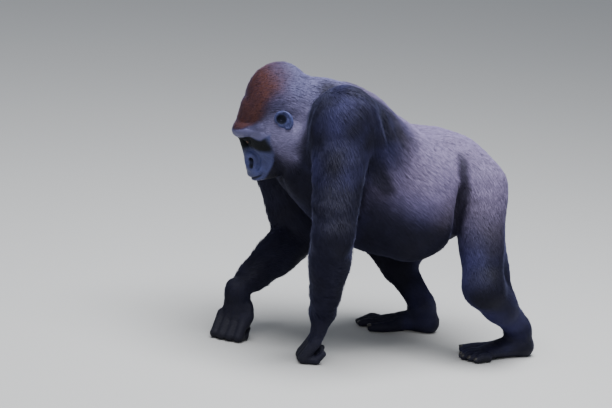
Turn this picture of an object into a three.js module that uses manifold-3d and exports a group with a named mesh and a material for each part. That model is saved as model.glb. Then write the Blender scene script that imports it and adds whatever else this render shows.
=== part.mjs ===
// A standing western lowland gorilla, life size, as one still museum model.
// Millimetres, +Z up. The animal looks along -Y and its left side is +X.
//
// The body is one smooth field of rounded limbs and masses. Each named part is that field
// made into triangles inside its own cell, thinned out, and trimmed to the cell with flat cuts.
import * as THREE from 'three';
import Module from 'manifold-3d';
import { SimplifyModifier } from 'three/addons/modifiers/SimplifyModifier.js';
import { mergeVertices } from 'three/addons/utils/BufferGeometryUtils.js';

const wasm = await Module();
wasm.setup();

// ---------------------------------------------------------------- driving sizes and stance

const CUT_GAP = 0.3;
// Knuckles and soles are pressed flat against the floor by this much.
const PRESSED = 3;

// Joint centres of the stance. The left arm bears weight with its elbow out, the right arm
// reaches ahead, the left leg trails and the right leg is under the belly.
const LEFT = 1;
const RIGHT = -1;
const ARM = {
  [LEFT]: { shoulder: [198, -288, 782], elbow: [384, -346, 455], wrist: [236, -312, 165] },
  [RIGHT]: { shoulder: [-204, -400, 670], elbow: [-202, -290, 298], wrist: [-45, -515, 163] },
};
const LEG = {
  [LEFT]: { hip: [122, 210, 552], knee: [272, 205, 262], ankle: [148, 385, 95] },
  [RIGHT]: { hip: [-122, 205, 552], knee: [-268, 10, 300], ankle: [-140, 150, 92] },
};
// Which way the knuckles and the toes point, in degrees from straight ahead towards the left.
const HAND_TURN = { [LEFT]: -14, [RIGHT]: 46 };
const FOOT_TURN = { [LEFT]: 16, [RIGHT]: -22 };

// The head: its centre between the ear holes, how far it bows, and how far it turns to the right.
const HEAD_CENTRE = [4, -428, 759];
const HEAD_BOW = 40;
const HEAD_TURN = 18;

// ---------------------------------------------------------------- small vector helpers

const add = (a, b, s = 1) => [a[0] + b[0] * s, a[1] + b[1] * s, a[2] + b[2] * s];
const mix = (a, b, t) => a.map((v, i) => v + (b[i] - v) * t);
const dot = (a, b) => a[0] * b[0] + a[1] * b[1] + a[2] * b[2];
const unit = (a) => {
  const length = Math.hypot(...a);
  return a.map((v) => v / length);
};
const rad = THREE.MathUtils.degToRad;
// A level direction, `turn` degrees from straight ahead towards the animal's left.
const heading = (turn) => [Math.sin(rad(turn)), -Math.cos(rad(turn)), 0];

// A frame has an origin and three axes: ahead, left and up. at() gives a point in it.
function makeFrame(origin, ahead, up) {
  const left = new THREE.Vector3(...up).cross(new THREE.Vector3(...ahead)).normalize().toArray();
  const axes = [unit(ahead), left, unit(up)];
  const at = (a, l, u) => add(add(add(origin, axes[0], a), axes[1], l), axes[2], u);
  return { axes, at };
}
const WORLD = makeFrame([0, 0, 0], [0, -1, 0], [0, 0, 1]);

// ---------------------------------------------------------------- the field

// Each mass is a signed distance with a reach (its bounding ball) and a blend radius.
const masses = [];
const hollows = [];

// A tube through stations [point, radius, width ratio]; its section is widened along `side`.
function tube(stations, blend, side = [1, 0, 0], list = masses) {
  const points = stations.map(([at]) => new THREE.Vector3(...at));
  const curve = new THREE.CatmullRomCurve3(points, false, 'centripetal');
  const steps = (stations.length - 1) * 4;
  const rings = [];
  for (let i = 0; i <= steps; i += 1) {
    const u = (i / steps) * (stations.length - 1);
    const from = Math.min(stations.length - 2, Math.floor(u));
    const t = u - from;
    const ease = t * t * (3 - 2 * t);
    const value = (k) => THREE.MathUtils.lerp(stations[from][k] ?? 1, stations[from + 1][k] ?? 1, ease);
    rings.push({ at: curve.getPoint(u / (stations.length - 1)).toArray(), r: value(1), wide: value(2) });
  }
  const distance = (x, y, z) => {
    let best = Infinity;
    for (let i = 0; i < steps; i += 1) {
      const a = rings[i];
      const b = rings[i + 1];
      const ux = b.at[0] - a.at[0];
      const uy = b.at[1] - a.at[1];
      const uz = b.at[2] - a.at[2];
      const px = x - a.at[0];
      const py = y - a.at[1];
      const pz = z - a.at[2];
      const along = (px * ux + py * uy + pz * uz) / (ux * ux + uy * uy + uz * uz);
      const t = Math.min(1, Math.max(0, along));
      const qx = px - ux * t;
      const qy = py - uy * t;
      const qz = pz - uz * t;
      const wide = a.wide + (b.wide - a.wide) * t;
      const s = qx * side[0] + qy * side[1] + qz * side[2];
      const squeeze = s * s * (1 / (wide * wide) - 1);
      const d = Math.sqrt(qx * qx + qy * qy + qz * qz + squeeze) - (a.r + (b.r - a.r) * t);
      if (d < best) best = d;
    }
    return best;
  };
  const middle = mix(rings[0].at, rings[steps].at, 0.5);
  const far = rings.map((ring) => Math.hypot(...add(ring.at, middle, -1)) + ring.r * Math.max(1, ring.wide));
  list.push({ distance, blend, middle, reach: Math.max(...far) });
}

// A rounded mass with radii along the three axes of its frame.
function ball(middle, radii, blend, frame = WORLD, list = masses) {
  const [f, l, u] = frame.axes;
  const distance = (x, y, z) => {
    const q = [x - middle[0], y - middle[1], z - middle[2]];
    const a = dot(q, f) / radii[0];
    const b = dot(q, l) / radii[1];
    const c = dot(q, u) / radii[2];
    const near = Math.sqrt(a * a + b * b + c * c);
    const slope = Math.sqrt((a / radii[0]) ** 2 + (b / radii[1]) ** 2 + (c / radii[2]) ** 2);
    return near < 1e-6 ? -Math.min(...radii) : (near * (near - 1)) / slope;
  };
  list.push({ distance, blend, middle, reach: Math.max(...radii) });
}

function blendDown(a, b, k) {
  const h = Math.max(k - Math.abs(a - b), 0) / k;
  return Math.min(a, b) - (h * h * k) / 4;
}

// The whole body's field from a chosen list of masses: below zero is inside.
function fieldOf(solid, carved) {
  return (x, y, z) => {
    let d = 1e3;
    for (const m of solid) {
      const gap = Math.hypot(x - m.middle[0], y - m.middle[1], z - m.middle[2]) - m.reach;
      if (gap < d + m.blend) d = blendDown(d, m.distance(x, y, z), m.blend);
    }
    for (const m of carved) {
      const gap = Math.hypot(x - m.middle[0], y - m.middle[1], z - m.middle[2]) - m.reach;
      if (gap < m.blend - d) d = -blendDown(-d, m.distance(x, y, z), m.blend);
    }
    return d;
  };
}

// ---------------------------------------------------------------- trunk and neck

const TRUNK = [
  [[0, 188, 574], 94, 1.2],
  [[0, 135, 560], 144, 1.16],
  [[0, 60, 525], 192, 1.12],
  [[0, -40, 510], 214, 1.18],
  [[0, -130, 552], 222, 1.18],
  [[0, -210, 612], 212, 1.16],
  [[0, -262, 648], 176, 1.1],
  [[0, -302, 690], 126, 0.9],
];
tube(TRUNK, 40);
// Muscle of the nape, rising to the back of the crown.
tube([[[0, -195, 724], 116, 1.25], [[0, -300, 766], 108, 1.02], [[4, -388, 780], 98, 0.86]], 40);
for (const side of [LEFT, RIGHT]) {
  // The flank of the belly hangs wider than the loins and ends in a fold before the thigh.
  ball([side * 165, -20, 470], [118, 118, 150], 60);
  ball([side * 185, 42, 480], [72, 62, 118], 40);
  ball([side * 84, 192, 548], [90, 86, 104], 60);
  // The broad muscle of the back, from the shoulder blade down to the loins.
  tube([
    [[side * 118, -215, 700], 120],
    [[side * 118, -110, 625], 128],
    [[side * 108, 20, 580], 120],
    [[side * 88, 120, 575], 112],
  ], 50);
}

// The fold between the belly and the trailing thigh.
ball([222, 118, 470], [13, 44, 96], 22, WORLD, hollows);

// ---------------------------------------------------------------- arms

for (const side of [LEFT, RIGHT]) {
  const { shoulder, elbow, wrist } = ARM[side];
  const chest = [side * 85, -318, 590];
  ball(add(shoulder, [side * 14, 4, -12]), [92, 92, 108], 60);
  tube([[add(shoulder, [-side * 20, 10, 0]), 84], [[side * 120, -200, 705], 112]], 60);
  tube([[chest, 100], [mix(chest, shoulder, 0.6), 82], [shoulder, 76]], 50);
  tube([
    [shoulder, 96],
    [mix(shoulder, elbow, 0.35), 88],
    [mix(shoulder, elbow, 0.7), 76],
    [elbow, 66],
  ], 40);
  tube([
    [elbow, 64],
    [mix(elbow, wrist, 0.28), 70],
    [mix(elbow, wrist, 0.7), 54],
    [wrist, 40],
  ], 22);
}

// ---------------------------------------------------------------- hands, on their knuckles

const FINGER = { across: 27, radius: 16, knuckle: 76, reach: 44, back: 40 };

function hand(side) {
  const { wrist } = ARM[side];
  const ahead = heading(HAND_TURN[side]);
  const floor = makeFrame([wrist[0], wrist[1], 0], ahead, [0, 0, 1]);
  const palm = floor.at(6, 0, 112);
  tube([[wrist, 38], [palm, 27, 1.6], [floor.at(14, 0, FINGER.knuckle), 22, 2.1]], 16, floor.axes[1]);
  for (let finger = 0; finger < 4; finger += 1) {
    const across = (finger - 1.5) * FINGER.across;
    const shorter = Math.abs(finger - 1.3) * 4;
    const first = floor.at(14, across, FINGER.knuckle);
    const second = floor.at(14 + FINGER.reach - shorter, across * 1.04, 19);
    const third = floor.at(14 + FINGER.reach - shorter - FINGER.back, across * 1.04, 15);
    tube([[first, 19], [second, FINGER.radius + 1.5]], 7);
    tube([[second, FINGER.radius], [third, FINGER.radius - 1]], 5);
    tube([[third, FINGER.radius - 1], [floor.at(-4 - shorter, across, 38), 12]], 5);
  }
  const thumbRoot = floor.at(-6, -side * 34, 118);
  tube([[thumbRoot, 20], [floor.at(8, -side * 55, 84), 15], [floor.at(14, -side * 52, 56), 11]], 10);
}
hand(LEFT);
hand(RIGHT);

// ---------------------------------------------------------------- legs

for (const side of [LEFT, RIGHT]) {
  const { hip, knee, ankle } = LEG[side];
  const seat = [side * 103, 222, 490];
  const calf = mix(knee, ankle, 0.45);
  tube([[hip, 96], [mix(hip, knee, 0.45), 78], [knee, 62]], 32);
  tube([[seat, 62], [mix(seat, calf, 0.6), 58], [calf, 46]], 40);
  tube([[knee, 64], [mix(knee, ankle, 0.35), 60], [mix(knee, ankle, 0.75), 46], [ankle, 40]], 30);
}

// ---------------------------------------------------------------- feet, flat on their soles

const FOOT = { heelBack: 52, ball: 150, tip: 208, across: 24, toe: 14 };

function foot(side) {
  const { ankle } = LEG[side];
  const frame = makeFrame([ankle[0], ankle[1], 0], heading(FOOT_TURN[side]), [0, 0, 1]);
  tube([[frame.at(-18, 0, 36), 38], [frame.at(4, 0, ankle[2] - 20), 44]], 20);
  tube([
    [frame.at(-FOOT.heelBack + 34, 0, 32), 35, 1.0],
    [frame.at(50, 0, 34), 33, 1.15],
    [frame.at(100, 0, 26), 25, 1.6],
    [frame.at(FOOT.ball, side * 4, 18), 18, 2.4],
  ], 18, frame.axes[1]);
  for (let toe = 0; toe < 4; toe += 1) {
    const across = side * ((toe - 1.2) * FOOT.across + 6);
    const length = FOOT.tip - Math.abs(toe - 1) * 9;
    tube([
      [frame.at(FOOT.ball - 6, across * 0.9, 17), 16],
      [frame.at((FOOT.ball + length) / 2, across, 20), FOOT.toe + 1],
      [frame.at(length, across, 12), FOOT.toe - 1],
    ], 6);
  }
  tube([
    [frame.at(72, -side * 26, 24), 24],
    [frame.at(112, -side * 62, 20), 19],
    [frame.at(158, -side * 78, 16), 16],
  ], 12);
}
foot(LEFT);
foot(RIGHT);

// ---------------------------------------------------------------- head

const bow = rad(HEAD_BOW);
const level = heading(-HEAD_TURN);
const HEAD = makeFrame(
  HEAD_CENTRE,
  add(level.map((v) => v * Math.cos(bow)), [0, 0, -Math.sin(bow)]),
  add(level.map((v) => v * Math.sin(bow)), [0, 0, Math.cos(bow)]),
);
const head = (middle, radii, blend, list) => ball(HEAD.at(...middle), radii, blend, HEAD, list);
const headTube = (stations, blend) => {
  tube(stations.map(([at, ...sizes]) => [HEAD.at(...at), ...sizes]), blend, HEAD.axes[1]);
};
const EYE = { ahead: 133, apart: 33, up: -6, radius: 14.5 };
const EAR = { ahead: 0, apart: 104, up: 0, long: 50, tall: 46, root: 101 };

head([0, 0, 38], [112, 90, 84], 40);
head([-26, 0, 88], [90, 50, 73], 50);
head([62, 0, 28], [74, 72, 46], 30);
headTube([[[138, 0, 46], 19, 1.8], [[84, 0, 86], 20, 2.1]], 24);
headTube([
  [[84, -80, 14], 16],
  [[124, -62, 30], 19],
  [[145, -30, 37], 22],
  [[149, 0, 35], 21],
  [[145, 30, 37], 22],
  [[124, 62, 30], 19],
  [[84, 80, 14], 16],
], 20);
head([82, 0, -30], [84, 70, 74], 30);
headTube([[[142, 0, 12], 17], [[156, 0, -20], 19], [[162, 0, -44], 22]], 16);
head([146, 0, -88], [58, 54, 40], 26);
head([138, 0, -114], [66, 54, 36], 24);
for (const side of [LEFT, RIGHT]) {
  head([156, side * 22, -50], [24, 19, 20], 10);
  head([88, side * 60, -20], [34, 22, 22], 24);
  head([88, side * 58, -50], [40, 25, 40], 26);
  head([42, side * 64, -52], [64, 44, 76], 36);
  headTube([[[20, side * 66, -92], 42], [[120, side * 34, -118], 34]], 34);
  head([EYE.ahead + 8, side * EYE.apart, EYE.up], [24, 20, 13], 12, hollows);
  head([181, side * 15, -58], [14, 9, 9], 6, hollows);
  // The ear: a small upright shell, hollowed from outside.
  head([EAR.ahead, side * EAR.apart, EAR.up], [EAR.long / 2, 12, EAR.tall / 2], 4);
  head([EAR.ahead + 3, side * (EAR.apart + 13), EAR.up - 1], [EAR.long * 0.32, 13, EAR.tall * 0.31], 4, hollows);
}
// Throat, from under the jaw back to the chest.
tube([[HEAD.at(30, 0, -60), 62, 1.0], [[0, -310, 630], 88, 1.2]], 30);

// ---------------------------------------------------------------- triangles from the field

// Marching tetrahedra over a box: six tetrahedra to each cube, which always close up.
const CUBE = [[0, 0, 0], [1, 0, 0], [1, 1, 0], [0, 1, 0], [0, 0, 1], [1, 0, 1], [1, 1, 1], [0, 1, 1]];
const TETRAHEDRA = [[0, 5, 1, 6], [0, 1, 2, 6], [0, 2, 3, 6], [0, 3, 7, 6], [0, 7, 4, 6], [0, 4, 5, 6]];

function polygonise(low, high, step) {
  const middle = mix(low, high, 0.5);
  const reach = Math.hypot(...add(high, middle, -1));
  const near = (m) => Math.hypot(...add(m.middle, middle, -1)) < reach + m.reach + m.blend;
  const field = fieldOf(masses.filter(near), hollows.filter(near));
  const count = [0, 1, 2].map((i) => Math.ceil((high[i] - low[i]) / step) + 1);
  const index = (i, j, k) => i + count[0] * (j + count[1] * k);
  const values = new Float32Array(count[0] * count[1] * count[2]);
  for (let k = 0; k < count[2]; k += 1) {
    for (let j = 0; j < count[1]; j += 1) {
      for (let i = 0; i < count[0]; i += 1) {
        const rim = i * j * k === 0 || i === count[0] - 1 || j === count[1] - 1 || k === count[2] - 1;
        const d = field(low[0] + i * step, low[1] + j * step, low[2] + k * step);
        values[index(i, j, k)] = rim ? Math.max(d, step / 2) : d || 1e-4;
      }
    }
  }
  const places = [];
  const faces = [];
  const known = new Map();
  const size = values.length;
  const crossing = (a, b) => {
    const key = a < b ? a * size + b : b * size + a;
    if (!known.has(key)) {
      const t = values[a] / (values[a] - values[b]);
      for (let axis = 0, da = a, db = b; axis < 3; axis += 1) {
        const n = count[axis];
        places.push(low[axis] + step * ((da % n) + t * ((db % n) - (da % n))));
        da = Math.floor(da / n);
        db = Math.floor(db / n);
      }
      known.set(key, places.length / 3 - 1);
    }
    return known.get(key);
  };
  const corner = new Array(8);
  for (let k = 0; k < count[2] - 1; k += 1) {
    for (let j = 0; j < count[1] - 1; j += 1) {
      for (let i = 0; i < count[0] - 1; i += 1) {
        let inside = 0;
        CUBE.forEach(([a, b, c], n) => {
          corner[n] = index(i + a, j + b, k + c);
          inside += values[corner[n]] < 0 ? 1 : 0;
        });
        if (inside === 0 || inside === 8) continue;
        for (const tetra of TETRAHEDRA) {
          const within = tetra.filter((n) => values[corner[n]] < 0).map((n) => corner[n]);
          const beyond = tetra.filter((n) => values[corner[n]] >= 0).map((n) => corner[n]);
          if (!within.length || !beyond.length) continue;
          faces.push(...slice(tetra, corner, values, within, beyond, crossing));
        }
      }
    }
  }
  return { places: new Float32Array(places), faces: new Uint32Array(faces) };
}

// The one or two triangles where the surface crosses a tetrahedron, facing out.
function slice(tetra, corner, values, within, beyond, crossing) {
  const order = tetra.map((n) => corner[n]);
  const parity = (list) => {
    const places = list.map((c) => order.indexOf(c));
    let swaps = 0;
    for (let a = 0; a < 4; a += 1) {
      for (let b = a + 1; b < 4; b += 1) swaps += places[a] > places[b] ? 1 : 0;
    }
    return swaps % 2;
  };
  const flip = parity([...within, ...beyond]) === 1;
  const face = (a, b, c) => (flip ? [a, c, b] : [a, b, c]);
  if (within.length === 1) {
    return face(...beyond.map((b) => crossing(within[0], b)));
  }
  if (within.length === 3) {
    return face(...within.map((w) => crossing(w, beyond[0])));
  }
  const [p, q] = within;
  const [r, s] = beyond;
  const pr = crossing(p, r);
  const ps = crossing(p, s);
  const qr = crossing(q, r);
  const qs = crossing(q, s);
  return [...face(pr, ps, qs), ...face(pr, qs, qr)];
}

// ---------------------------------------------------------------- solids, boxes and cells

function solidOf(geometry) {
  const bare = new THREE.BufferGeometry();
  bare.setAttribute('position', geometry.getAttribute('position'));
  bare.setIndex(geometry.getIndex());
  const whole = mergeVertices(bare, 1e-4);
  const vertProperties = new Float32Array(whole.getAttribute('position').array);
  const triVerts = new Uint32Array(whole.getIndex().array);
  return new wasm.Manifold(new wasm.Mesh({ numProp: 3, vertProperties, triVerts }));
}

function geometryOf(solid) {
  const mesh = solid.getMesh();
  const geometry = new THREE.BufferGeometry();
  geometry.setAttribute('position', new THREE.BufferAttribute(mesh.vertProperties, 3));
  geometry.setIndex(new THREE.BufferAttribute(mesh.triVerts, 1));
  geometry.computeVertexNormals();
  return geometry;
}

// A cell is a box on its own frame, from its low to its high corner along ahead, left and up.
function makeCell(origin, ahead, up, low, high) {
  const forward = unit(ahead);
  return { frame: makeFrame(origin, forward, add(up, forward, -dot(up, forward))), low, high };
}

function boxOf({ frame, low, high }, grow = 0) {
  const size = low.map((v, i) => high[i] - v + grow * 2);
  const box = new THREE.BoxGeometry(...size);
  const basis = frame.axes.map((axis) => new THREE.Vector3(...axis));
  const placed = new THREE.Matrix4().makeBasis(...basis).setPosition(...frame.at(...mix(low, high, 0.5)));
  return solidOf(box.applyMatrix4(placed));
}

// The level box around a cell, kept inside the reach of the body.
const BODY_LOW = [-480, -760, -30];
const BODY_HIGH = [520, 580, 980];

function bounds({ frame, low, high }, margin) {
  const corners = CUBE.map((corner) => frame.at(...corner.map((c, i) => (c ? high[i] : low[i]))));
  const least = BODY_LOW.map((v, i) => Math.max(v, Math.min(...corners.map((c) => c[i])) - margin));
  const most = BODY_HIGH.map((v, i) => Math.min(v, Math.max(...corners.map((c) => c[i])) + margin));
  return [least, most];
}

// ---------------------------------------------------------------- the parts' cells

const DOWN = [0, 0, -1];
const FRONT = [0, -1, 0];
const UP = [0, 0, 1];
const direction = (from, to) => unit(add(to, from, -1));
const NAMES = { [LEFT]: 'left', [RIGHT]: 'right' };
// Ahead of a joint, square to the line that halves its bend.
const pastJoint = (near, joint, far) => add(direction(joint, far), direction(joint, near), -1);

// Parts in the order in which they take their cells; later parts keep clear of earlier ones.
const parts = [];
const addPart = (name, cell, step, triangles, colour) => parts.push({ name, cell, step, triangles, colour });

const COAT_BLACK = 0x2a2830;
const COAT_GREY = 0x6a6066;
const COAT_BROWN = 0x5a3a2c;
const BARE_SKIN = 0x302f38;

for (const side of [LEFT, RIGHT]) {
  const { shoulder, elbow, wrist } = ARM[side];
  const toHand = add(direction(elbow, wrist), DOWN);
  const hand = makeCell(wrist, toHand, FRONT, [0, -130, -130], [240, 130, 130]);
  addPart(`hand_${NAMES[side]}`, hand, 5, 700, BARE_SKIN);
  const reach = side === LEFT ? [[0, -190, -96], [350, 100, 110]] : [[0, -110, -120], [340, 190, 250]];
  const forearm = makeCell(elbow, pastJoint(shoulder, elbow, wrist), FRONT, ...reach);
  addPart(`forearm_${NAMES[side]}`, forearm, 8, 520, COAT_BLACK);
}
for (const side of [LEFT, RIGHT]) {
  const { hip, knee, ankle } = LEG[side];
  const sole = [ankle[0], ankle[1], 0];
  const foot = makeCell(sole, heading(FOOT_TURN[side]), UP, [-100, -120, -12], [260, 120, 88]);
  addPart(`foot_${NAMES[side]}`, foot, 5, 600, BARE_SKIN);
  const reach = side === LEFT ? [[0, -200, -240], [320, 110, 130]] : [[0, -110, -250], [320, 205, 120]];
  const shank = makeCell(knee, pastJoint(hip, knee, ankle), FRONT, ...reach);
  addPart(`shank_${NAMES[side]}`, shank, 8, 520, COAT_BLACK);
}
{
  const lift = rad(9.5);
  const ahead = add(level.map((v) => v * Math.cos(lift)), UP, Math.sin(lift));
  const nape = [16, -392, 745];
  for (const side of [LEFT, RIGHT]) {
    const ends = [EAR.root, EAR.apart + 22].map((v) => v * side);
    const low = [EAR.ahead - 28, Math.min(...ends), EAR.up - 26];
    const high = [EAR.ahead + 28, Math.max(...ends), EAR.up + 26];
    const ear = { frame: HEAD, low, high };
    addPart(`ear_${NAMES[side]}`, ear, 2.5, 150, BARE_SKIN);
  }
  addPart('head', makeCell(nape, ahead, UP, [0, -116, -250], [260, 118, 240]), 4.5, 2950, COAT_BROWN);
  addPart('neck', makeCell(nape, ahead, UP, [-85, -122, -90], [0, 122, 220]), 9, 400, COAT_GREY);
}
const ARMHOLE = {
  [LEFT]: { at: [182, -290, 730], out: [0.866, -0.38, 0.5], low: [0, -200, -430], high: [330, 200, 260] },
  [RIGHT]: { at: [-112, -330, 560], out: [-0.73, -0.69, 0], low: [0, -230, -400], high: [260, 210, 280] },
};
const HIP = {
  [LEFT]: { low: [60, -115, -160], high: [360, 200, 96] },
  [RIGHT]: { low: [60, -180, -160], high: [380, 92, 88] },
};
for (const side of [LEFT, RIGHT]) {
  const { at, out, low, high } = ARMHOLE[side];
  addPart(`upper_arm_${NAMES[side]}`, makeCell(at, out, UP, low, high), 9, 620, COAT_BLACK);
  const { hip, knee } = LEG[side];
  const thigh = makeCell(hip, direction(hip, knee), FRONT, HIP[side].low, HIP[side].high);
  addPart(`thigh_${NAMES[side]}`, thigh, 9, 560, COAT_GREY);
}
addPart('trunk', makeCell([0, 0, 0], FRONT, UP, [-400, -310, 240], [470, 310, 980]), 12, 2100, COAT_GREY);

// ---------------------------------------------------------------- making the parts

const group = new THREE.Group();
group.name = 'gorilla';

function addMesh(name, solid, colour) {
  const pieces = solid.decompose();
  pieces.sort((a, b) => b.volume() - a.volume());
  const material = new THREE.MeshStandardMaterial({ color: colour, roughness: 0.8 });
  const mesh = new THREE.Mesh(geometryOf(pieces[0]), material);
  mesh.name = name;
  group.add(mesh);
}

async function shapeIn(part) {
  const raw = polygonise(...bounds(part.cell, 3 * part.step), part.step);
  const geometry = new THREE.BufferGeometry();
  geometry.setAttribute('position', new THREE.BufferAttribute(raw.places, 3));
  geometry.setIndex(new THREE.BufferAttribute(raw.faces, 1));
  const surplus = raw.places.length / 3 - part.triangles / 2;
  return solidOf(await new SimplifyModifier().modify(geometry, Math.max(0, surplus)));
}

const EYE_GAP = 0.3;
const eyeball = (side, radius) => {
  const place = HEAD.at(EYE.ahead, side * EYE.apart, EYE.up);
  return solidOf(new THREE.IcosahedronGeometry(radius, 2).translate(...place));
};

// Everything above the floor, which cuts the soles and knuckles flat.
const above = boxOf({ frame: WORLD, low: [-600, -600, PRESSED], high: [800, 600, 1000] });
const taken = [];
for (const part of parts) {
  let solid = (await shapeIn(part)).intersect(boxOf(part.cell)).intersect(above);
  for (const earlier of taken) solid = solid.subtract(boxOf(earlier, CUT_GAP));
  taken.push(part.cell);
  if (part.name === 'head') {
    for (const side of [LEFT, RIGHT]) solid = solid.subtract(eyeball(side, EYE.radius + EYE_GAP));
  }
  addMesh(part.name, solid, part.colour);
}
for (const side of [LEFT, RIGHT]) addMesh(`eye_${NAMES[side]}`, eyeball(side, EYE.radius), 0x2b1a10);

// The origin is set under the middle of the whole figure, on the floor.
const reach = new THREE.Box3().setFromObject(group);
const middle = reach.getCenter(new THREE.Vector3());
group.position.set(-middle.x, -middle.y, -reach.min.z);

export default group;
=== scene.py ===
"""A standing western lowland gorilla as a life-size still model: its skin, coat, eyes and stage.

Millimetres and the stance's own frame (the animal looks along -Y) are used for shaping, and
placed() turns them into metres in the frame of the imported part.
"""
import math

import bmesh
import bpy
import numpy as np
from mathutils import Matrix, Vector


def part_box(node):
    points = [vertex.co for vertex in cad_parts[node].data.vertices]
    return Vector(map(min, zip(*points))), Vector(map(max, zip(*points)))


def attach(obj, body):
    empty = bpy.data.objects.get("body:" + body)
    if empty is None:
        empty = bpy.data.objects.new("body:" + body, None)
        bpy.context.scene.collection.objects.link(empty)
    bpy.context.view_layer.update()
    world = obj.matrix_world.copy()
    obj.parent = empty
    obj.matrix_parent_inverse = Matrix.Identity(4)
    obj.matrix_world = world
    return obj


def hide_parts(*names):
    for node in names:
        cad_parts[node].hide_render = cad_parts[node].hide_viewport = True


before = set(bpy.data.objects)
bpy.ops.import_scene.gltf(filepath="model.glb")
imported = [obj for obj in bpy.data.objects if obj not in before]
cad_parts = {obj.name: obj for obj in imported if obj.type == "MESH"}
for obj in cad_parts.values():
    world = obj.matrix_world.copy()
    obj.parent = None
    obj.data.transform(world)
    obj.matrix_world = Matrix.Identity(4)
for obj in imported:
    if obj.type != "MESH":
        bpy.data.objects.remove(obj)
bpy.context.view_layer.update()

LEFT, RIGHT = 1, -1
NAMES = {LEFT: "left", RIGHT: "right"}

# ---------------------------------------------------------------- stance, in millimetres

ARM = {
    LEFT: {"shoulder": (198, -288, 782), "elbow": (384, -346, 455), "wrist": (236, -312, 165)},
    RIGHT: {"shoulder": (-204, -400, 670), "elbow": (-202, -290, 298), "wrist": (-45, -515, 163)},
}
LEG = {
    LEFT: {"hip": (122, 210, 552), "knee": (272, 205, 262), "ankle": (148, 385, 95)},
    RIGHT: {"hip": (-122, 205, 552), "knee": (-268, 10, 300), "ankle": (-140, 150, 92)},
}
# Which way the knuckles and the toes point, in degrees from straight ahead towards the left.
HAND_TURN = {LEFT: -14, RIGHT: 46}
FOOT_TURN = {LEFT: 16, RIGHT: -22}
HEAD_CENTRE = (4, -428, 759)
HEAD_BOW, HEAD_TURN = 40, 18
PRESSED = 3


def vec(*values):
    return np.array(values[0] if len(values) == 1 else values, dtype=float)


def joints(limb, side):
    """The places of a limb's joints, from the body outwards."""
    return [vec(place) for place in limb[side].values()]


def unit(v):
    return v / np.linalg.norm(v)


def units(rows):
    return rows / np.maximum(np.linalg.norm(rows, axis=-1, keepdims=True), 1e-9)


def mix(a, b, t):
    return vec(a) + (vec(b) - vec(a)) * t


def heading(turn):
    """A level direction, `turn` degrees from straight ahead towards the animal's left."""
    return vec(math.sin(math.radians(turn)), -math.cos(math.radians(turn)), 0)


class Axes:
    """An origin with axes ahead, left and up."""

    def __init__(self, origin, ahead, up):
        self.origin = vec(origin)
        ahead, up = unit(vec(ahead)), unit(vec(up))
        self.axes = np.array([ahead, np.cross(up, ahead), up])

    def at(self, a, l, u):
        return self.origin + vec(a, l, u) @ self.axes

    def local(self, points):
        return (points - self.origin) @ self.axes.T


WORLD = Axes((0, 0, 0), (0, -1, 0), (0, 0, 1))
_bow, _level = math.radians(HEAD_BOW), heading(-HEAD_TURN)
HEAD = Axes(
    HEAD_CENTRE,
    _level * math.cos(_bow) + vec(0, 0, -math.sin(_bow)),
    _level * math.sin(_bow) + vec(0, 0, math.cos(_bow)),
)
EYE = {"ahead": 133, "apart": 33, "up": -6, "radius": 14.5}

_low, _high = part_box("eye_left")
SHIFT = (vec(_low) + vec(_high)) * 500 - HEAD.at(EYE["ahead"], EYE["apart"], EYE["up"])


def placed(points):
    return (np.asarray(points) + SHIFT) / 1000


# ---------------------------------------------------------------- the body as a field

def smooth(low, high, x):
    t = np.clip((x - low) / (high - low), 0, 1)
    return t * t * (3 - 2 * t)


def blend_down(a, b, k):
    h = np.maximum(k - np.abs(a - b), 0) / k
    return np.minimum(a, b) - h * h * k / 4


def curve_through(points, count):
    """Centripetal Catmull-Rom through the points, `count` steps in all."""
    points = [vec(p) for p in points]
    padded = [2 * points[0] - points[1], *points, 2 * points[-1] - points[-2]]
    spans = len(points) - 1
    places = []
    for step in range(count + 1):
        u = step / count * spans
        k = min(int(u), spans - 1)
        t = u - k
        p0, p1, p2, p3 = padded[k:k + 4]
        d0, d1, d2 = (max(np.linalg.norm(b - a), 1e-4) ** 0.5 for a, b in ((p0, p1), (p1, p2), (p2, p3)))
        t1 = ((p1 - p0) / d0 - (p2 - p0) / (d0 + d1) + (p2 - p1) / d1) * d1
        t2 = ((p2 - p1) / d1 - (p3 - p1) / (d1 + d2) + (p3 - p2) / d2) * d1
        c2 = -3 * p1 + 3 * p2 - 2 * t1 - t2
        c3 = 2 * p1 - 2 * p2 + t1 + t2
        places.append(p1 + t1 * t + c2 * t * t + c3 * t ** 3)
    return places


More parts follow.
